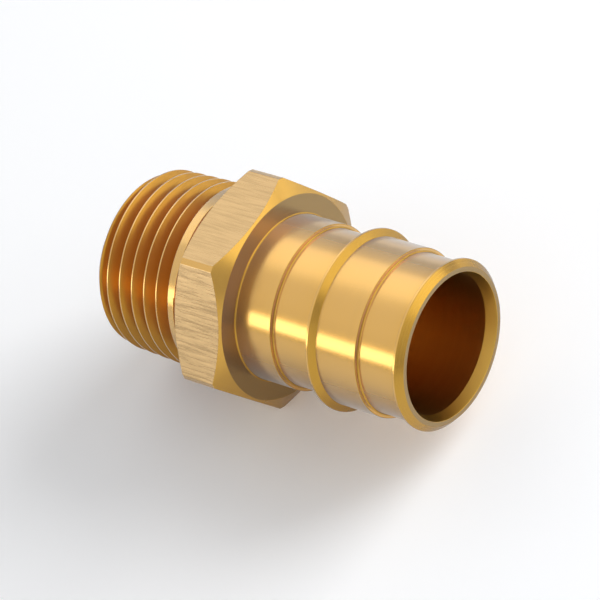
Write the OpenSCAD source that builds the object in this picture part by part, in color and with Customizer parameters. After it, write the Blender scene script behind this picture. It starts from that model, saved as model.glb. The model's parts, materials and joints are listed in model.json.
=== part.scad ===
// Brass male adapter: a ribbed tail for expanded plastic pipe, a wrench hexagon
// and a male taper pipe thread, turned from one piece of hexagon bar.
// It lies on one flat of its hexagon. X runs along the bore towards the pipe end,
// Z is up, and the origin is under the middle of the piece.

/* [Bore] */
// Diameter of the straight bore
bore_d = 15.6; // [14:0.1:16]
// How far the countersink at the pipe end widens the bore, on the radius
mouth_flare = 0.4; // [0.2:0.05:0.6]
// Depth of that countersink
mouth_depth = 1.3; // [0.8:0.1:2]
// Chamfer on the bore's edge at the thread end
bore_chamfer = 0.4; // [0.2:0.1:0.8]

/* [Pipe end] */
// Length of the ribbed tail, from the hexagon's face to the tip
tail_l = 22; // [21.5:0.1:26]
// Diameter of the shoulder next to the hexagon and of the middle land
land_d = 18.8; // [18.6:0.1:19.2]
// Diameter of the two necks between the lands
neck_d = 17.8; // [17.4:0.1:18]
// Length of the shoulder next to the hexagon
shoulder_l = 4.8; // [4:0.1:6]
// Diameter over the tall rib
rib_d = 20.4; // [19.8:0.1:21]
// Distance from the hexagon's face to the tall rib's crest
rib_x = 10.5; // [9:0.1:11]
// Width of the crest on the tall rib and on the end rib
crest_w = 0.3; // [0.2:0.05:0.5]
// Slope of the tall rib's front face, from square
rib_slope = 30; // [15:1:40]
// Distance from the hexagon's face to the end of the middle land
land_x = 16.15; // [14:0.05:17]
// Diameter over the end rib
end_rib_d = 18.9; // [18.7:0.1:19.4]
// Length of the bevel from the end rib's crest to the tip
tip_l = 0.7; // [0.4:0.1:0.9]
// How far that bevel comes in, on the radius
tip_drop = 0.7; // [0.3:0.05:0.7]
// Radius of the tool's nose, which rounds the root of every step
root_r = 0.2; // [0.1:0.05:0.3]
// Width of the broken outer edge of each land
edge_break = 0.1; // [0.05:0.05:0.15]

/* [Hexagon] */
// Width across the flats
hex_af = 24; // [23.5:0.5:30]
// Width of the hexagon along the bore
hex_w = 6.5; // [5:0.5:10]
// How much is turned off each corner, on the radius
corner_cut = 0.2; // [0.05:0.05:0.4]
// Chamfer angle of both faces, from square
hex_chamfer = 30; // [15:1:35]
// How far inside the flats the chamfer starts on each face
face_inset = 0.3; // [0.1:0.1:0.8]

/* [Thread end] */
// Length from the back of the hexagon to the thread's end
thread_l = 13; // [11:0.5:16]
// Diameter over the thread's crests at the small end
thread_d = 20.7; // [20.3:0.1:21.2]
// The thread's taper: it grows by one part in this many, on the diameter
taper_parts = 16; // [12:1:20]
// Turns of the thread in one inch
turns_per_inch = 14; // [13:1:19]
// Angle between the two flanks of the thread's groove
thread_angle = 60; // [55:5:65]
// Width of the flat left on each crest
crest_flat = 0.15; // [0.1:0.05:0.3]
// Width of the flat at the bottom of the groove
root_flat = 0.1; // [0.05:0.05:0.2]
// Turns over which the tool is drawn out at the groove's far end
run_out = 0.55; // [0.25:0.05:1]
// Where the groove crosses the end face, as an angle round the bore
thread_clock = 10; // [0:5:355]
// Width of the relief groove behind the hexagon
relief_w = 1.05; // [0.5:0.05:1.5]
// Depth of the relief groove
relief_h = 0.6; // [0.2:0.1:0.9]
// Chamfer on the start of the thread
start_chamfer = 0.9; // [0.5:0.1:1.2]

/* [Hidden] */
$fn = 96;
hex_r = hex_af / 2;
corner_r = hex_r / cos(30) - corner_cut;
total_l = thread_l + hex_w + tail_l;
// Distance from the thread's end to the hexagon's front face, where the tail starts
face_x = thread_l + hex_w;
// Radius over the thread's crests where the relief groove starts, and in the groove
thread_end_r = thread_d / 2 + (thread_l - relief_w) / taper_parts / 2;
relief_r = thread_end_r - relief_h;
pitch = 25.4 / turns_per_inch;
// Depth of the groove under the crest flats, and how far its tool stands out above them
thread_depth = (pitch - crest_flat - root_flat) / 2 / tan(thread_angle / 2);
tool_over = crest_flat / 2;
// The groove comes in a turn outside the end face, and ends a little before the relief
first_turn = -1;
last_turn = (thread_l - relief_w) / pitch - 1 / 4;
turn_steps = 36;
land_r = land_d / 2;
neck_r = neck_d / 2;
// Run of the tall rib's front face along the bore
rib_run = (rib_d - land_d) / 2 * tan(rib_slope);
// Where the crests of the tall rib and the end rib start, and where the end rib's ends
rib_back_x = rib_x - crest_w;
end_crest_x = tail_l - tip_l;
end_rib_back_x = end_crest_x - crest_w;
// Depth of the hexagon's chamfer where it meets the turned corners
chamfer_l = (corner_r - hex_r + face_inset) * tan(hex_chamfer);
// How far a cutting tool runs past the metal
clear = 1;
brass = [0.80, 0.63, 0.35];

// Fillet in the inner corner at radius r and height y. The step's face is below the
// corner where up is 1, and above it where up is -1.
module root_fillet(r, y, up) {
    sunk = root_r / 2;
    translate([r, y])
        mirror([0, up < 0 ? 1 : 0])
            difference() {
                translate([-sunk, -sunk])
                    square(root_r + sunk);
                translate([root_r, root_r])
                    circle(r = root_r);
            }
}

// Outline of the ribbed tail, as radius against distance from the hexagon's face.
// It starts a little inside the hexagon, so that the two join.
module tail_outline() {
    polygon([
        [0, -clear],
        [land_r, -clear],
        [land_r, shoulder_l - edge_break],
        [land_r - edge_break, shoulder_l],
        [neck_r, shoulder_l],
        [neck_r, rib_back_x],
        [rib_d / 2, rib_back_x],
        [rib_d / 2, rib_x],
        [land_r, rib_x + rib_run],
        [land_r, land_x - edge_break],
        [land_r - edge_break, land_x],
        [neck_r, land_x],
        [neck_r, end_rib_back_x],
        [end_rib_d / 2, end_rib_back_x],
        [end_rib_d / 2, end_crest_x],
        [end_rib_d / 2 - tip_drop, tail_l],
        [0, tail_l],
    ]);
    root_fillet(land_r, 0, 1);
    for (step_x = [shoulder_l, land_x])
        root_fillet(neck_r, step_x, 1);
    for (back_x = [rib_back_x, end_rib_back_x])
        root_fillet(neck_r, back_x, -1);
}

// Outline of the threaded end over its crests, from its end to inside the hexagon
module thread_outline() {
    start_r = thread_d / 2 + start_chamfer / taper_parts / 2;
    polygon([
        [0, 0],
        [start_r - start_chamfer, 0],
        [start_r, start_chamfer],
        [thread_end_r, thread_l - relief_w],
        [relief_r, thread_l - relief_w],
        [relief_r, thread_l + clear],
        [0, thread_l + clear],
    ]);
    root_fillet(relief_r, thread_l - relief_w, 1);
    root_fillet(relief_r, thread_l, -1);
}

// Section of the thread's groove after so many turns from the end face: two corners
// above the crests and two at the root, which is lifted where the tool is drawn out
function groove_section(turns) =
    let(
        z = pitch * turns,
        crest_r = thread_d / 2 + z / taper_parts / 2,
        drawn_out = max(0, 1 + (turns - last_turn) / run_out),
        top_r = crest_r + tool_over,
        root_r = crest_r - thread_depth + drawn_out * (thread_depth + tool_over / 2),
        half_root = root_flat / 2,
        half_top = half_root + (top_r - root_r) * tan(thread_angle / 2),
        corners = [[top_r, -half_top], [top_r, half_top], [root_r, half_root], [root_r, -half_root]]
    )
    [for (c = corners) [c[0] * cos(360 * turns), c[0] * sin(360 * turns), z + c[1]]];

// The thread's groove, as the solid that its V tool sweeps along the helix
module thread_groove() {
    steps = round((last_turn - first_turn) * turn_steps);
    sections = [for (k = [0:steps]) groove_section(last_turn - (steps - k) / turn_steps)];
    sides = [
        for (k = [0:steps - 1], i = [0:3])
            let(here = 4 * k + i, next = 4 * k + (i + 1) % 4)
                each [[here, next, next + 4], [here, next + 4, here + 4]]
    ];
    ends = [[3, 2, 1, 0], [for (i = [0:3]) 4 * steps + i]];
    rotate([0, 0, thread_clock])
        polyhedron(points = [for (section = sections) each section], faces = concat(sides, ends));
}

// The tapered end with its thread cut in
module thread_end() {
    difference() {
        rotate_extrude()
            thread_outline();
        thread_groove();
    }
}

// Round blank that the hexagon is trimmed to: both faces chamfered, corners turned
module hex_blank_outline() {
    face_r = hex_r - face_inset;
    polygon([
        [0, 0],
        [face_r, 0],
        [corner_r, chamfer_l],
        [corner_r, hex_w - chamfer_l],
        [face_r, hex_w],
        [0, hex_w],
    ]);
}

// The wrench hexagon, with a flat facing down once the piece is laid along X
module wrench_hex() {
    intersection() {
        rotate([0, 0, 30])
            cylinder(h = hex_w, r = hex_r / cos(30), $fn = 6);
        rotate_extrude()
            hex_blank_outline();
    }
}

// The bore, its countersink at the pipe end and its chamfer at the thread end
module bore() {
    bore_r = bore_d / 2;
    flare_slope = mouth_flare / mouth_depth;
    translate([0, 0, -clear])
        cylinder(h = total_l + 2 * clear, r = bore_r);
    translate([0, 0, total_l - mouth_depth])
        cylinder(h = mouth_depth + clear, r1 = bore_r, r2 = bore_r + flare_slope * (mouth_depth + clear));
    translate([0, 0, -clear])
        cylinder(h = bore_chamfer + clear, r1 = bore_r + bore_chamfer + clear, r2 = bore_r);
}

// The whole fitting is one solid, drawn upright on its thread end and then laid down
module adapter_body() {
    color(brass)
        translate([-total_l / 2, 0, hex_r])
            rotate([0, 90, 0])
                difference() {
                    union() {
                        thread_end();
                        translate([0, 0, thread_l])
                            wrench_hex();
                        translate([0, 0, face_x])
                            rotate_extrude()
                                tail_outline();
                    }
                    bore();
                }
}

adapter_body();
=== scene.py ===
# %% [markdown]
# # A brass male adapter, turned from hexagon bar
# The real fitting is one piece of brass. A lathe turns it from a hexagon bar: a ribbed
# tail for plastic pipe at one end, a taper pipe thread at the other, and a bore
# right through. A short stretch of the bar is left in the middle for the wrench.
#
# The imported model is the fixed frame: it has the right sizes, the right place and
# every main form, the helical thread among them, but its faces are coarse and its
# edges are sharp. This lesson draws the same forms again as one finer mesh, with
# rounded edges and true normals, and gives each surface the finish of its tool.

# %% Load the frame and keep its box
import json
from math import atan2, cos, degrees, exp, log, pi, radians, sin, sqrt, tan

import bmesh
import bpy
from mathutils import Matrix, Vector


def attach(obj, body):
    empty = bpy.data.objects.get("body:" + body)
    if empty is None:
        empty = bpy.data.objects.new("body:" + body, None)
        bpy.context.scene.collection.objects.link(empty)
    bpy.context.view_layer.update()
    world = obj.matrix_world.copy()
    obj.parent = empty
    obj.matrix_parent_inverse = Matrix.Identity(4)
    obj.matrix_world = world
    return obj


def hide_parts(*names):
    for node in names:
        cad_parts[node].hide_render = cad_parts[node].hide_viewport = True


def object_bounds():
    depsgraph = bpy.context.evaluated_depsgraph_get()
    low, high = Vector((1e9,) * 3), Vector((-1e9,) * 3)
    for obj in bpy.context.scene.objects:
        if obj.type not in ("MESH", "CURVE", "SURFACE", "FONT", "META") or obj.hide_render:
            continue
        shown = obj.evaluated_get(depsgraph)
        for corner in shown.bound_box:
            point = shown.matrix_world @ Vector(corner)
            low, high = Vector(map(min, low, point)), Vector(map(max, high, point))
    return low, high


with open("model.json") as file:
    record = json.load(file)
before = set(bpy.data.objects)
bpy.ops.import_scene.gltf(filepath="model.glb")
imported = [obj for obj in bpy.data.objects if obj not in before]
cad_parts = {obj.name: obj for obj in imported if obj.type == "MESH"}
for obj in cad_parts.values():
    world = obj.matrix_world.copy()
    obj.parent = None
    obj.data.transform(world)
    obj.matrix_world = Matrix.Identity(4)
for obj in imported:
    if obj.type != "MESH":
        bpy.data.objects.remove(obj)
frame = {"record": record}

MM = 0.001
cad_low, cad_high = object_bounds()
size_mm = (cad_high - cad_low) / MM
print("frame box, mm:", [round(v, 2) for v in size_mm])

# %% [markdown]
# ## The camera
# The photograph was taken with a long lens, so the far end of the fitting is hardly
# smaller than the near end. The camera's place was worked out from the fitting's own
# circles: each looks like an ellipse, and the ellipses' shapes and spacing fix the
# direction. It is set by two directions, where it looks and which way is up in the
# picture, because the fitting leans in the frame and a plain tilt and turn can't say that.

# %% The camera
image_px = 600
focal_px = 3001
sensor_mm = 36
eye = Vector((188.13, -141.60, 240.77)) * MM
looks = Vector((-0.5727, 0.4316, -0.6970)).normalized()
picture_up = Vector((-0.2384, 0.7257, 0.6453))
right = looks.cross(picture_up).normalized()
up = right.cross(looks)

lens = bpy.data.cameras.new("camera")
lens.sensor_width = sensor_mm
lens.lens = sensor_mm * focal_px / image_px
lens.clip_start = 0.01
camera = bpy.data.objects.new("camera", lens)
axes = Matrix((right, up, -looks)).transposed().to_4x4()
camera.matrix_world = Matrix.Translation(eye) @ axes
bpy.context.scene.collection.objects.link(camera)
bpy.context.scene.camera = camera
print("lens:", round(lens.lens, 1), "mm; distance:", round(eye.length / MM), "mm")

# %% [markdown]
# The Standard view shows each colour as it is written. The default view would press the
# bright reflections together and make the brass look dull and brown.

# %% Colours as they are written
bpy.context.scene.view_settings.view_transform = "Standard"
print("view:", bpy.context.scene.view_settings.view_transform)

# %% [markdown]
# ## The sizes
# The overall length, the hexagon and the bore come from the frame. The rest are the
# same driving dimensions as the solid has, and each is written down where its form is
# drawn. All are in millimetres, measured along the bore (x) and out from it (the
# radius). Everything is turned about the line y = 0 at half the hexagon's height.

# %% Where the ends and the hexagon lie
bore_mount = next(m for m in frame["record"]["mounts"] if m["name"] == "bore")
x_start = cad_low.x / MM
x_tip = cad_high.x / MM
hex_r = size_mm.z / 2
bore_r = bore_mount["dims"]["r_mm"]

tail_l = 22
hex_w = 6.5
x_face = x_tip - tail_l
x_back = x_face - hex_w
print("hexagon from x", round(x_back, 2), "to", round(x_face, 2), "mm")

# %% [markdown]
# ## Rounding every corner of an outline
# No turned corner is perfectly sharp: the tool's nose leaves a small fillet in each
# inner corner, and each outer edge is broken. Those small arcs catch the light as fine
# lines, which the photograph shows at every step. A bevel modifier could add them, but
# here each outline is drawn with its corners already turned on arcs, so every
# corner can have its own radius.

# %% A path with its corners turned on arcs
arc_steps = 4


def rounded(corners):
    """The path through (x, r, nose) corners, each turned on an arc of radius nose."""
    path = []
    for i, (x, r, nose) in enumerate(corners):
        here = Vector((x, r))
        if not nose:
            path.append(here)
            continue
        back = (Vector(corners[i - 1][:2]) - here).normalized()
        ahead = (Vector(corners[i + 1][:2]) - here).normalized()
        half = back.angle(ahead) / 2
        centre = here + (back + ahead).normalized() * nose / sin(half)
        first = here + back * nose / tan(half) - centre
        last = here + ahead * nose / tan(half) - centre
        begin = atan2(first.y, first.x)
        turn = atan2(first.x * last.y - first.y * last.x, first.dot(last))
        for step in range(arc_steps + 1):
            a = begin + turn * step / arc_steps
            path.append(centre + Vector((cos(a), sin(a))) * nose)
    return path


square_corner = rounded([(0, 0, 0), (1, 0, 0.2), (1, 1, 0)])
print("a square corner on a 0.2 mm arc takes", len(square_corner) - 2, "points")

# %% [markdown]
# ## The ribbed tail and the bore
# The tail is a plain turned shape, so its outline is a list of corners from the
# hexagon's face out to the tip and back down the bore. The ribs are sharp
# towards the hexagon, so that the plastic pipe can't slide off, and sloped towards
# the tip, so that it slides on. The mouth of the bore is widened by a shallow cone.

# %% Sizes of the tail and the bore's two ends
land_r = 9.4
neck_r = 8.9
rib_r = 10.2
end_rib_r = 9.45
shoulder_l = 4.8
rib_x = 10.5
crest_w = 0.3
rib_slope = radians(30)
land_x = 16.15
tip_l = 0.7
tip_drop = 0.7
mouth_flare = 0.4
mouth_depth = 1.3
bore_chamfer = 0.4

root_nose = 0.2
edge_nose = 0.09
crest_nose = 0.07
mouth_nose = 0.05

rib_back = rib_x - crest_w
rib_run = (rib_r - land_r) * tan(rib_slope)
end_crest = tail_l - tip_l
end_back = end_crest - crest_w
mouth_r = bore_r + mouth_flare
print("tall rib from", rib_back, "to", round(rib_x + rib_run, 2), "mm beyond the hexagon")

# %% Outline from the hexagon's face round the tip to the thread end's face
tail_corners = [
    (0, land_r, root_nose),
    (shoulder_l, land_r, edge_nose),
    (shoulder_l, neck_r, root_nose),
    (rib_back, neck_r, root_nose),
    (rib_back, rib_r, crest_nose),
    (rib_x, rib_r, crest_nose),
    (rib_x + rib_run, land_r, edge_nose),
    (land_x, land_r, edge_nose),
    (land_x, neck_r, root_nose),
    (end_back, neck_r, root_nose),
    (end_back, end_rib_r, crest_nose),
    (end_crest, end_rib_r, crest_nose),
    (tail_l, end_rib_r - tip_drop, crest_nose),
    (tail_l, mouth_r, crest_nose),
]
tail_corners = [(x_face + x, r, nose) for x, r, nose in tail_corners]
bore_corners = [
    (x_tip - mouth_depth, bore_r, mouth_nose),
    (x_start + bore_chamfer, bore_r, edge_nose),
    (x_start, bore_r + bore_chamfer, edge_nose),
]
print("tail corners:", len(tail_corners), "bore corners:", len(bore_corners))

# %% [markdown]
# ## The wrench hexagon
# Seen along the bore, the outline is a hexagon whose corners are turned off. Both
# faces are chamfered by the lathe, so each chamfer is a cone, and it meets a flat
# in the curved edge that every nut has. A modelled prism with a bevel has straight
# edges there. Here each slice through the axis gets its own reach, and the cone
# meets it further back where the reach is longer, which makes the curve by itself.

# %% How far the hexagon reaches at each angle
sector = radians(60)
corner_cut = 0.2
face_inset = 0.3
hex_chamfer = radians(30)
corner_soft = 0.01
corner_r = hex_r / cos(sector / 2) - corner_cut
face_r = hex_r - face_inset
land_angle = atan2(sqrt(corner_r**2 - hex_r**2), hex_r)


def off_middle(angle):
    """How far this angle is from the middle of the nearest flat."""
    return (angle + sector / 2) % sector - sector / 2


def hex_reach(angle):
    """Radius of the hexagon at this angle, with the edges of the turned corners eased."""
    flat = hex_r / cos(off_middle(angle))
    return -corner_soft * log(exp((corner_r - flat) / corner_soft) + 1) + corner_r


def on_flat(angle):
    """True on a flat, False on the turned corner between two flats."""
    return abs(off_middle(angle)) < land_angle


def hex_corners(angle):
    """Corners of the hexagon's outline at this angle, from its back to its front face."""
    reach = hex_reach(angle)
    run = (reach - face_r) * tan(hex_chamfer)
    return [
        (x_back, face_r, crest_nose),
        (x_back + run, reach, crest_nose),
        (x_face - run, reach, crest_nose),
        (x_face, face_r, crest_nose),
    ]


print("reach at a flat:", round(hex_reach(0), 2), "mm, at a corner:", round(hex_reach(sector / 2), 2), "mm")
print("turned corners start", round(degrees(land_angle), 2), "degrees from each flat's middle")

# %% [markdown]
# ## The taper pipe thread
# The thread is a 60 degree V with 14 turns to the inch, cut on a cone that grows by 1
# in 16 on the diameter. It is right-handed. A screw modifier would give a straight
# thread with raw ends. Here the rows of the mesh follow the helix instead, so each
# crest is one clean line. First comes the form of one turn, from crest to crest.

# %% The thread's form over one turn
turns_per_inch = 14
pitch = 25.4 / turns_per_inch
half_v = radians(30)
crest_flat = 0.15
root_flat = 0.1
crest_ease = 0.05
root_ease = 0.04
flank_w = (pitch - crest_flat - root_flat) / 2
thread_depth = flank_w / tan(half_v)
flank_steps = 4

form_corners = [
    (0, 0, 0),
    (crest_flat / 2, 0, crest_ease),
    (crest_flat / 2 + flank_w, -thread_depth, root_ease),
    (pitch - crest_flat / 2 - flank_w, -thread_depth, root_ease),
    (pitch - crest_flat / 2, 0, crest_ease),
    (pitch, 0, 0),
]


def split_flanks(path):
    """The form with its long flanks split, without the point that the next turn repeats."""
    fine = []
    for here, ahead in zip(path, path[1:]):
        parts = flank_steps if (ahead - here).length > flank_w / 2 else 1
        fine += [here.lerp(ahead, k / parts) for k in range(parts)]
    return fine


thread_form = split_flanks(rounded(form_corners))
print("pitch", round(pitch, 3), "mm, depth", round(thread_depth, 2), "mm,", len(thread_form), "rows a turn")

# %% [markdown]
# The crests in the photograph fix the angle at which the groove crosses the end face.
# At the hexagon's side the tool was drawn out of the cut over half a turn, so the last
# groove grows shallow and leaves a plain land before the relief groove. At the other
# end a chamfer cuts the crests down, so that the thread finds its socket. Rows that
# would run past either end are gathered in the point where the outline crosses that
# end. They are merged there later, so the thread starts and stops without raw edges.

# %% Where the groove starts and ends
thread_r = 10.35
taper = 1 / 32
start_chamfer = 0.9
relief_w = 1.05
relief_h = 0.6
x_relief = x_back - relief_w
thread_clock = radians(10) - radians(90)
run_out = 0.55
last_turn = (x_relief - x_start) / pitch - 1 / 4
tool_over = crest_flat / 2
whole_turns = range(-1, int(last_turn) + 1)


def cone_r(x):
    """Radius over the thread's crests at this place along the bore."""
    return thread_r + (x - x_start) * taper


relief_r = cone_r(x_relief) - relief_h
relief_corners = [
    (x_relief, relief_r, root_nose),
    (x_back, relief_r, root_nose),
]
print("the groove ends after", round(last_turn, 2), "turns")
print("over the crests, mm:", round(2 * cone_r(x_start), 2), "to", round(2 * cone_r(x_relief), 2))

# %% Where a point of the thread lies
def clamp(v, low, high):
    return max(low, min(high, v))


def clipped(path, low, high):
    """The path with what lies past either end drawn in to the point where it crosses it."""
    inside = [i for i, p in enumerate(path) if low < p.x < high]
    first, last = inside[0], inside[-1]
    out, start = path[first - 1], path[first]
    entry = out.lerp(start, (low - out.x) / (start.x - out.x))
    end, beyond = path[last], path[last + 1]
    leave = end.lerp(beyond, (high - end.x) / (beyond.x - end.x))
    return [entry] * first + path[first:last + 1] + [leave] * (len(path) - last - 1)


def thread_points(angle):
    """Points of the thread along the bore at this angle, clipped at its two ends."""
    path = []
    for turn in whole_turns:
        turns = (angle - thread_clock) / (2 * pi) + turn
        drawn_out = clamp(1 + (turns - last_turn) / run_out, 0, 1)
        lift = drawn_out * (thread_depth + tool_over / 2)
        for form in thread_form:
            x = x_start + pitch * (turns - 1 / 2) + form.x
            path.append(Vector((x, cone_r(x) + min(form.y + lift, 0))))
    for p in path:
        p.y = min(p.y, thread_r - start_chamfer + max(p.x - x_start, 0))
    return clipped(path, x_start, x_relief)


print("points along the thread in each slice:", len(thread_points(0)))

# %% [markdown]
# ## One mesh for the whole fitting
# Each slice through the axis is a closed outline, and all slices have the same number
# of points. Joining each slice to the next gives one skin that closes on itself, like
# a ring. The last slice is the first one again, one turn further along the helix, and
# merging the points that fall together closes the seam. The slices stand closer
# together where a flat meets a turned corner, because the outline bends there.

# %% The angles of the slices
flat_steps = 34
corner_offsets = [-0.5, -0.25, -0.1, 0, 0.1, 0.25, 0.5]


def slice_angles():
    """Angles of the slices, from one turned corner's middle once round to it again."""
    edge = degrees(land_angle)
    soft = corner_offsets[-1]
    across = 2 * (edge - soft)
    offsets = [-30] + [-edge + s for s in corner_offsets]
    offsets += [-edge + soft + across * k / flat_steps for k in range(1, flat_steps)]
    offsets += [edge + s for s in corner_offsets]
    return [radians(60 * side + 30 + off) for side in range(6) for off in offsets] + [2 * pi]


angles = slice_angles()
print(len(angles) - 1, "slices")

# %% [markdown]
# The real fitting has been through several tools, and each left its own finish: the
# lathe on the tail and the chamfers, the drawing die on the flats, a threading tool, a
# reamer. So each stretch of the outline is given the number of a finish as it is
# drawn. The number follows from where the stretch lies and how steep it is.

# %% The finish of each stretch of an outline
TURNED, CHAMFER, SLOPE, FACED, BRUSHED, THREAD, CREST, REAMED, BORE = range(9)
crest_band = 0.06
near_mm = 0.01
slope_rise = 0.3
square_rise = 10


def thread_finishes(thread):
    """CREST for the rows along the thread's crests, and THREAD for the groove."""
    rows = []
    for here, ahead in zip(thread, thread[1:] + thread[-1:]):
        mid = (here + ahead) / 2
        rows.append(CREST if mid.y > cone_r(mid.x) - crest_band else THREAD)
    return rows


def turned_finish(here, ahead, hexagon, side):
    """Finish of the stretch from here to ahead, on a flat where side is True."""
    mid = (here + ahead) / 2
    rise = abs(ahead.y - here.y) / max(abs(ahead.x - here.x), 1e-6)
    if mid.y < bore_r + near_mm:
        return BORE
    if mid.y < mouth_r:
        return REAMED
    if x_back < mid.x < x_face and mid.y > face_r:
        back_edge, front_edge = hexagon[1][0], hexagon[2][0]
        if mid.x < back_edge or mid.x > front_edge:
            return CHAMFER
        return BRUSHED if side else TURNED
    if rise > square_rise and (abs(mid.x - x_face) < near_mm or mid.x > x_tip - near_mm):
        return FACED
    return SLOPE if slope_rise < rise < square_rise else TURNED


# %% The outline of one slice
def slice_outline(angle):
    """(points, finishes) of the closed outline at this angle, from the thread end round and back."""
    thread = thread_points(angle)
    hexagon = hex_corners(angle - sector / 2)
    lead_in = (*thread[-1], 0)
    lead_out = (*thread[0], 0)
    outer = rounded([lead_in] + relief_corners + hexagon + tail_corners + bore_corners + [lead_out])
    outer = outer[1:-1]
    points = thread + outer
    side = on_flat(angle - sector / 2)
    finishes = thread_finishes(thread)
    for here, ahead in zip(outer, outer[1:] + points[:1]):
        finishes.append(turned_finish(here, ahead, hexagon, side))
    return points, finishes


print("points in each slice:", len(slice_outline(0)[0]))

# %% [markdown]
# Blender would work out smooth shading from the mesh's faces, and blend the normals of a
# wide face with those of the fine arc beside it. That bends the reflections over the
# whole wide face, which polished metal shows at once. So each point gets its own
# normal: square to the outline, where the longer stretch decides, and square to the
# way that the point moves from slice to slice, which holds on a cone, a flat and a
# helix alike.

# %% The true normal at each point of a slice
merge_mm = 0.0005
small_turn = 1e-5


def next_apart(points, i, way):
    """The nearest point before or after the i-th that isn't in the same place."""
    j = i + way
    while (points[j % len(points)] - points[i]).length < merge_mm:
        j += way
    return points[j % len(points)]


def slice_normals(points, turned):
    """Normals as (x, outward, round) of a slice, from it and from the slice a little further round."""
    normals = []
    for i, (here, moved) in enumerate(zip(points, turned)):
        before = here - next_apart(points, i, -1)
        after = next_apart(points, i, 1) - here
        out = Vector((-before.y, before.x)) * before.length + Vector((-after.y, after.x)) * after.length
        drift = (moved - here) / small_turn
        normals.append(Vector((out.x, out.y, -out.dot(drift) / here.y)).normalized())
    return normals


flat_points, _ = slice_outline(0)
flat_normals = slice_normals(flat_points, slice_outline(small_turn)[0])
print("outward part of the normals: from", round(min(v.y for v in flat_normals), 2),
      "in the bore to", round(max(v.y for v in flat_normals), 2), "outside")

# %% [markdown]
# Neighbouring slices are joined point by point with four-sided faces. Each face takes
# the finish of the stretch of outline that it grows from, so the border between two
# finishes always falls on an edge of the metal and needs no painted mask.

# %% Join the slices into the skin
def turned_about_bore(x, out, round_, angle):
    """A direction given along the bore, outward and round it, turned to this angle."""
    return x, out * cos(angle) - round_ * sin(angle), out * sin(angle) + round_ * cos(angle)


def skin():
    """The fitting's mesh, in metres, in the frame's place, with a true normal at each point."""
    places, normals, finish_rows = [], [], []
    for angle in angles:
        points, finishes = slice_outline(angle)
        turned, _ = slice_outline(angle + small_turn)
        finish_rows.append(finishes)
        places += [(p.x * MM, p.y * cos(angle) * MM, (hex_r + p.y * sin(angle)) * MM) for p in points]
        for normal in slice_normals(points, turned):
            normals += turned_about_bore(*normal, angle)
    count = len(finish_rows[0])
    faces, finishes = [], []
    for k in range(len(angles) - 1):
        here, ahead = k * count, (k + 1) * count
        for j in range(count):
            following = (j + 1) % count
            faces.append((here + j, here + following, ahead + following, ahead + j))
            finishes.append(finish_rows[k][j])
    mesh = bpy.data.meshes.new("brass_adapter")
    mesh.from_pydata(places, [], faces)
    mesh.polygons.foreach_set("material_index", finishes)
    stored = mesh.attributes.new("true_normal", "FLOAT_VECTOR", "POINT")
    stored.data.foreach_set("vector", normals)
    return mesh


mesh = skin()
print("raw faces:", len(mesh.polygons))

# %% [markdown]
# A skin that is closed has exactly two faces at every edge, and the count below has to be
# 0. Its volume is worked out too, to set beside the solid's 5104 cubic millimetres. The
# normals are stored on the points first and made the mesh's own last, because merging
# would lose them.

# %% Merge the seam and the gathered rows, and check that the skin is closed
def close_up(mesh):
    """Merges points that fall together, turns the faces outward and counts open edges."""
    bm = bmesh.new()
    bm.from_mesh(mesh)
    bmesh.ops.remove_doubles(bm, verts=bm.verts, dist=merge_mm * MM)
    bmesh.ops.recalc_face_normals(bm, faces=bm.faces)
    open_edges = sum(1 for e in bm.edges if len(e.link_faces) != 2)
    for f in bm.faces:
        f.smooth = True
    volume = bm.calc_volume()
    triangles = sum(len(f.verts) - 2 for f in bm.faces)
    bm.to_mesh(mesh)
    bm.free()
    return open_edges, volume, triangles


def keep_normals(mesh):
    """Turns the stored normals into the mesh's own."""
    stored = mesh.attributes["true_normal"]
    flat = [0.0] * (3 * len(mesh.vertices))
    stored.data.foreach_get("vector", flat)
    mesh.attributes.remove(stored)
    mesh.normals_split_custom_set_from_vertices([flat[i:i + 3] for i in range(0, len(flat), 3)])


open_edges, volume, triangles = close_up(mesh)
keep_normals(mesh)
print("open edges:", open_edges, "volume, mm3:", round(volume / MM**3), "triangles:", triangles)

# %% [markdown]
# The mesh is drawn in the frame's own place, so the piece needs no moving. It stands
# for the solid, and rides with the only body that there is.

# %% Place it over the frame's solid
adapter = bpy.data.objects.new("brass_adapter", mesh)
bpy.context.scene.collection.objects.link(adapter)
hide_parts("adapter_body")
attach(adapter, "root")
print("placed:", adapter.name, "at", tuple(adapter.location))

# %% [markdown]
# ## The finishes
# Brass is a metal: all its colour is in its reflection, so the shader is fully
# metallic and the base colour is the colour of the polished metal. The colours differ
# from surface to surface. The sloped faces, the square faces and the cut thread are
# given darker base colours as painted shade, standing in for the darker surroundings
# that they mirror.

# %% Colours of the metal, each as its surface shows it
brass_colour = (0.66, 0.35, 0.035)
chamfer_colour = (0.62, 0.345, 0.055)
# Painted shade: darker than the turned brass, for the darker surroundings that the slopes mirror.
slope_painted_shade_colour = (0.52, 0.285, 0.035)
# Painted shade: much darker, for the dark surroundings that the square faces mirror.
faced_painted_shade_colour = (0.345, 0.225, 0.085)
brushed_colour = (0.505, 0.34, 0.165)
# Painted shade: darker, for the darker surroundings inside the thread's grooves.
thread_painted_shade_colour = (0.52, 0.25, 0.025)
reamed_colour = (0.68, 0.43, 0.10)
bored_colour = (0.64, 0.36, 0.10)
print("turned brass, red to blue:", brass_colour)

# %% [markdown]
# A material is a tree of nodes. Adding each node takes three or four lines in plain
# Blender code, so a small helper makes a node, fills in its sockets and joins it to
# others in one call. It works on a material and on the world alike.

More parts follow.
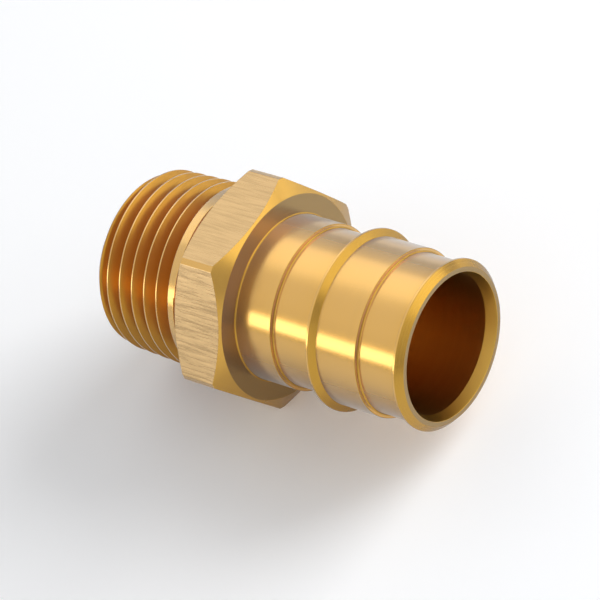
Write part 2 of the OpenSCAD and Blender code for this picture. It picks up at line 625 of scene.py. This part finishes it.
# %% A node tree helper
class Nodes:
    """A short way to add nodes to the tree of a material or a world, and to join them."""

    def __init__(self, owner):
        owner.use_nodes = True
        self.owner = owner
        self.tree = owner.node_tree
        self.shader = self.tree.nodes.get("Principled BSDF") or self.tree.nodes["Background"]

    def add(self, kind, **inputs):
        """A new node with its sockets set or joined, by name or as i and the socket's number."""
        node = self.tree.nodes.new("ShaderNode" + kind)
        for key, value in inputs.items():
            numbered = key[0] == "i" and key[1:].isdigit()
            socket = node.inputs[int(key[1:]) if numbered else key]
            if isinstance(value, bpy.types.NodeSocket):
                self.join(value, socket)
            else:
                socket.default_value = value
        return node

    def join(self, source, target):
        self.tree.links.new(source, target)

    def set_shader(self, **values):
        """Sets the shader's own sockets, with _ for each space in a socket's name."""
        for name, value in values.items():
            self.shader.inputs[name.replace("_", " ")].default_value = value

# %% [markdown]
# What tells one surface from the next is the tool's marks. A lathe leaves rings, which
# are lines of equal distance from the bore's axis, and the flats of drawn bar keep
# streaks along the bar. Both are noise in a place that is bent or squeezed first, so
# the marks follow the real surfaces and need no picture or unwrapping.

# %% Where the tool marks run
streak_squeeze = 0.07


def along_bar(n):
    """The place on the fitting, squeezed along the bar so that noise is drawn out into streaks."""
    place = n.add("TexCoord").outputs["Object"]
    return n.add("Mapping", Vector=place, Scale=(streak_squeeze, 1, 1)).outputs[0]


def round_bar(n):
    """The place as (x, distance from the bore's line), so that noise runs round in rings."""
    place = n.add("SeparateXYZ", Vector=n.add("TexCoord").outputs["Object"]).outputs
    height = n.add("Math", i0=place["Z"], i1=-hex_r * MM)
    y_squared = n.add("Math", i0=place["Y"], i1=place["Y"])
    z_squared = n.add("Math", i0=height.outputs[0], i1=height.outputs[0])
    total = n.add("Math", i0=y_squared.outputs[0], i1=z_squared.outputs[0])
    away = n.add("Math", i0=total.outputs[0], i1=0.5)
    y_squared.operation = z_squared.operation = "MULTIPLY"
    away.operation = "POWER"
    return n.add("CombineXYZ", X=place["X"], Y=away.outputs[0]).outputs[0]


# %% What the tool marks change
def marks_on(n, place, scale):
    """Noise at the place, from 0 to 1, with its middle range drawn apart."""
    noise = n.add("TexNoise", Vector=place, Scale=scale, Detail=4, Roughness=0.6)
    middle = {"From Min": 0.3, "From Max": 0.7}
    return n.add("MapRange", Value=noise.outputs["Fac"], **middle).outputs[0]


def ramp(n, value, low, high):
    """The value, which runs from 0 to 1, mapped to run from low to high."""
    return n.add("MapRange", Value=value, **{"To Min": low, "To Max": high}).outputs[0]


def tint(n, value, dark, light):
    """A colour between dark and light, by the value."""
    mix = n.tree.nodes.new("ShaderNodeMix")
    mix.data_type = "RGBA"
    factor, first, second = mix.inputs[0], mix.inputs[6], mix.inputs[7]
    n.join(value, factor)
    first.default_value = (*dark, 1)
    second.default_value = (*light, 1)
    return mix.outputs[2]


def shade(colour, level):
    return tuple(c * level for c in colour)


print("brushed brass, 18 percent darker:", [round(v, 3) for v in shade(brushed_colour, 0.82)])

# %% [markdown]
# The photograph shows one more thing. Where a turned surface is seen at a slant, its gold
# turns to a pale beige, as skin-fine roughness and a trace of cutting oil scatter white
# light there. A sheen layer does this, and a thin clear coat adds the rest. The cuts that
# face the camera more squarely, such as the hexagon's chamfers, stay a deep gold, so they
# get a weaker veil and no film.

# %% One finish of bare brass
mark_height = 0.00002


def brass(name, colour, grain, scale, rough, contrast, bump, veil=0.0, film=0.0):
    """Brass whose tool marks follow the grain, with a pale veil and a thin film at a slant."""
    n = Nodes(bpy.data.materials.new(name))
    marks = marks_on(n, grain(n), scale)
    metal = tint(n, marks, shade(colour, 1 - contrast), shade(colour, 1 + contrast))
    n.join(metal, n.shader.inputs["Base Color"])
    n.join(ramp(n, marks, *rough), n.shader.inputs["Roughness"])
    if bump:
        relief = n.add("Bump", Strength=bump, Distance=mark_height, Height=marks)
        n.join(relief.outputs[0], n.shader.inputs["Normal"])
    n.set_shader(Metallic=1, Specular_Tint=(0.45, 0.45, 0.45, 1))
    n.set_shader(Sheen_Weight=veil, Sheen_Roughness=0.53)
    n.set_shader(Coat_Weight=film, Coat_Roughness=0.16, Coat_IOR=2.2)
    return n.owner


# %% [markdown]
# The list below is in the order of the finish numbers. The lathe's rings are fine and
# shallow, so on the tail they are hardly more than a slight spread of the highlights.
# The flats show their streaks plainly, and without a veil they keep one even colour.
# The bore and the countersink are rougher and lie inside, so they need no veil either.

# %% The finishes in order
# Marks in a metre: the more there are, the finer they look
fine, close, plain, coarse = 9000, 6000, 5000, 3000
streak = 3200
finishes = [
    brass("turned brass", brass_colour, round_bar, fine, (0.18, 0.24), 0.02, 0.03, veil=0.65, film=0.45),
    brass("chamfered brass", chamfer_colour, round_bar, fine, (0.18, 0.24), 0.02, 0.02, veil=0.5),
    # The sloped, faced and cut thread finishes take colours darkened as painted shade.
    brass("sloped brass with painted shade", slope_painted_shade_colour, round_bar, fine, (0.22, 0.28), 0.02, 0.02, veil=0.4),
    brass("faced brass with painted shade", faced_painted_shade_colour, round_bar, fine, (0.20, 0.26), 0.04, 0.02, veil=0.3),
    brass("brushed brass", brushed_colour, along_bar, streak, (0.22, 0.32), 0.18, 0.2),
    brass("cut thread with painted shade", thread_painted_shade_colour, round_bar, plain, (0.29, 0.31), 0.01, 0, veil=0.5),
    brass("thread crests", chamfer_colour, round_bar, fine, (0.18, 0.24), 0.02, 0.02, veil=1, film=0.4),
    brass("reamed brass", reamed_colour, round_bar, close, (0.30, 0.36), 0.03, 0),
    brass("bored brass", bored_colour, round_bar, coarse, (0.30, 0.36), 0.03, 0),
]
for finish in finishes:
    mesh.materials.append(finish)
print("finishes:", [finish.name for finish in finishes])

# %% [markdown]
# ## The floor, the backdrop and the lights
# The photograph has a plain white ground, so the fitting lies on a wide white floor. The
# floor glows a little for the rays that look at it or mirror it, which lifts it to white
# and still keeps the soft shadow under the fitting. It lies a hair below the frame's
# ground, so that the flat that the fitting rests on doesn't flicker through it.

# %% The floor
floor_half = 1.5
floor_gap = 0.00002
floor_glow = 0.1


def white_for_eye(n):
    """1 for camera, glossy and transmission rays, else 0."""
    path = n.add("LightPath").outputs
    total = n.add("Math", i0=path["Is Camera Ray"], i1=path["Is Glossy Ray"]).outputs[0]
    both = n.add("Math", i0=total, i1=path["Is Transmission Ray"])
    both.use_clamp = True
    return both.outputs[0]


def floor_material():
    n = Nodes(bpy.data.materials.new("floor"))
    n.set_shader(Base_Color=(0.90, 0.91, 0.93, 1), Roughness=1, Specular_IOR_Level=0)
    n.set_shader(Emission_Color=(1, 1, 1, 1))
    n.join(ramp(n, white_for_eye(n), 0, floor_glow), n.shader.inputs["Emission Strength"])
    return n.owner


floor_corners = [(x * floor_half, y * floor_half, 0) for x, y in ((-1, -1), (1, -1), (1, 1), (-1, 1))]
floor_mesh = bpy.data.meshes.new("floor")
floor_mesh.from_pydata(floor_corners, [], [(0, 1, 2, 3)])
floor_mesh.materials.append(floor_material())
floor = bpy.data.objects.new("floor", floor_mesh)
floor.location.z = -floor_gap
bpy.context.scene.collection.objects.link(floor)
print("floor:", 2 * floor_half, "m square")

# %% [markdown]
# Polished metal shows mostly its surroundings. A single white level all round would
# leave the brass flat, so the walls shade from grey at the floor's edge to white overhead,
# as in a room lit from its ceiling. Rays that carry light to dull surfaces get one plain level.

# %% The world
wall_top = 0.6
horizon_level = 0.48
room_level = 0.46

world = bpy.data.worlds.new("studio")
bpy.context.scene.world = world
sky = Nodes(world)
height = sky.add("SeparateXYZ", Vector=sky.add("TexCoord").outputs["Generated"]).outputs["Z"]
wall = sky.add("MapRange", Value=height, **{"From Max": wall_top, "To Min": horizon_level}).outputs[0]
level = ramp(sky, white_for_eye(sky), room_level, wall)
sky.set_shader(Color=(1, 1, 1, 1))
sky.join(level, sky.shader.inputs["Strength"])
print("walls from", horizon_level, "to 1, room", room_level)

# %% [markdown]
# The highlights on the tail are straight bands along it, so each comes from one long
# lamp, and its place follows from the mirror law. The broad one stands above and behind,
# the narrow one low at the left, and a third at the pipe end lights the chamfers and slopes.
# The last lamp only shapes the shadow, and the metal doesn't mirror it.

# %% The lamps
lamp_distance = 0.6


def softbox(name, towards, size, radiance):
    """A rectangular lamp that faces the fitting from a direction, as bright as radiance where seen."""
    lamp = bpy.data.lights.new(name, "AREA")
    lamp.shape = "RECTANGLE"
    lamp.size, lamp.size_y = size
    lamp.energy = radiance * pi * size[0] * size[1]
    body = bpy.data.objects.new(name, lamp)
    way = Vector(towards).normalized()
    body.location = Vector((0, 0, hex_r * MM)) + way * lamp_distance
    body.rotation_euler = way.to_track_quat("Z", "Y").to_euler()
    body.visible_camera = False
    bpy.context.scene.collection.objects.link(body)
    print(name, "W:", round(lamp.energy, 2))
    return body


softbox("broad softbox", (-0.57, 0.39, 0.72), (0.6, 0.29), 0.6)
softbox("strip softbox", (-0.57, -0.788, 0.22), (0.6, 0.15), 2.8)
softbox("front softbox", (0.80, 0.47, 0.36), (0.6, 0.42), 1.1)
floor_light = softbox("back softbox", (0.45, 0.75, 0.48), (0.4, 0.4), 6)
floor_light.visible_glossy = False
